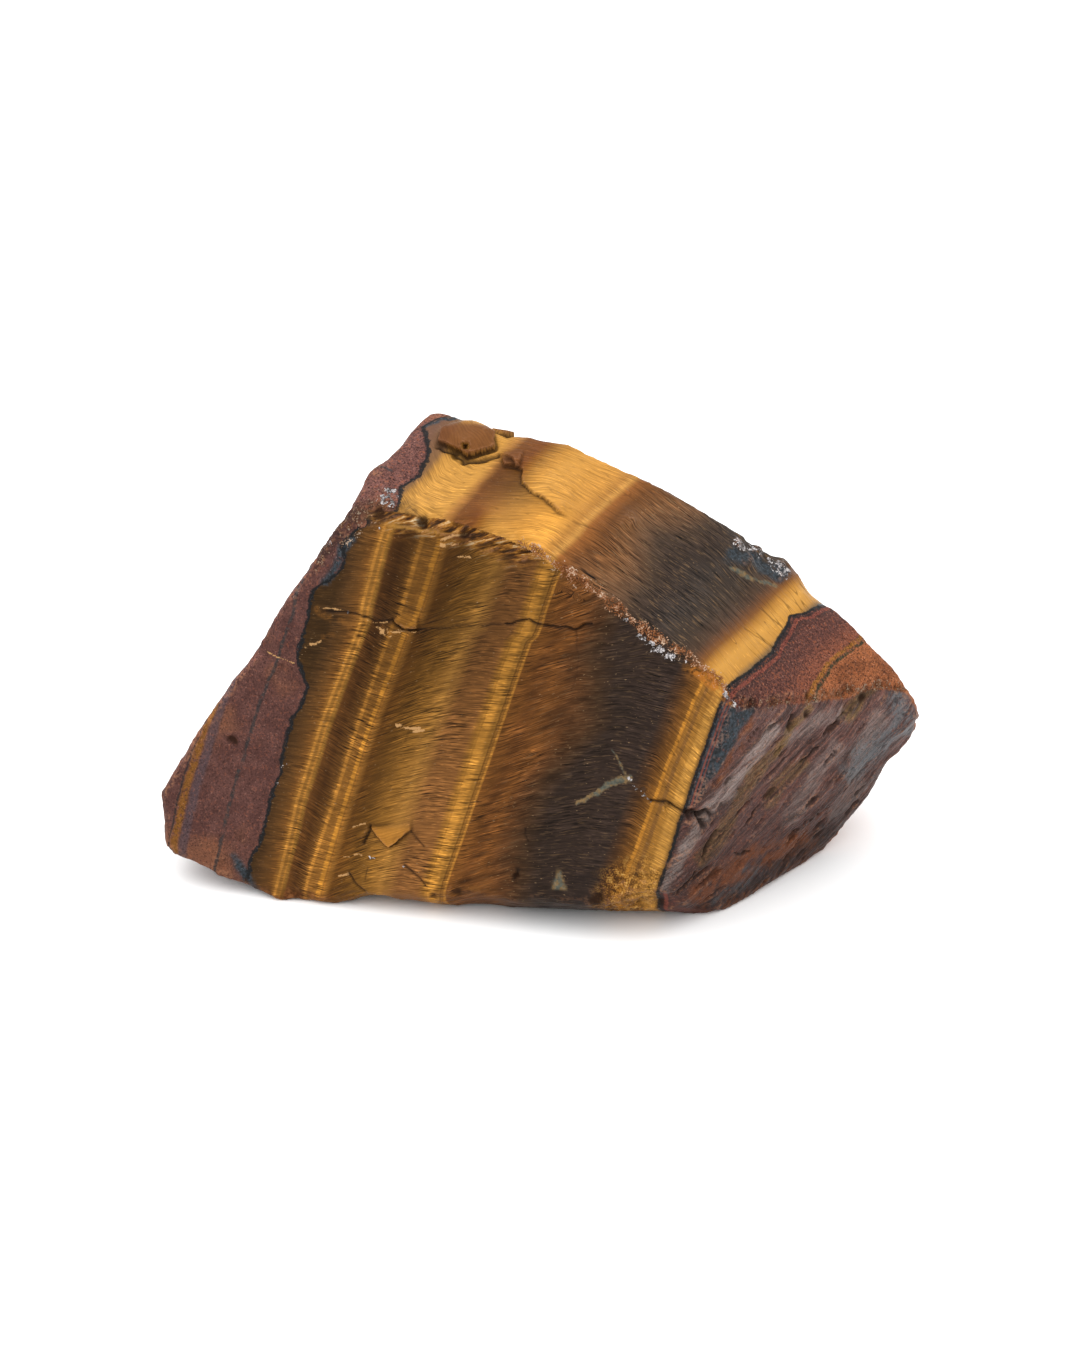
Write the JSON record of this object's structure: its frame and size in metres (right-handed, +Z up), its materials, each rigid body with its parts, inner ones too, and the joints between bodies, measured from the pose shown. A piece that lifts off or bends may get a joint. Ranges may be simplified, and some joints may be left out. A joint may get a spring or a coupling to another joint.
{
  "type": "rough tiger's eye stone",
  "caption": "Rough broken chunk of banded tiger's eye between red jasper layers, with a flat underside to rest on, for display or study.",
  "frame": {"origin": "middle of the stone's outline, on the flat underside it rests on", "axes": "+X along the stone's longest side, to the right in the picture; -Y is the broad banded front; +Z up"},
  "size_m": [0.0612, 0.0282, 0.0355],
  "materials": {
    "tigers_eye": "rough broken stone with a silky sheen, gold and brown bands with red-brown jasper at both ends"
  },
  "bodies": {
    "root": {"stone": "tigers_eye"}
  },
  "joints": []
}
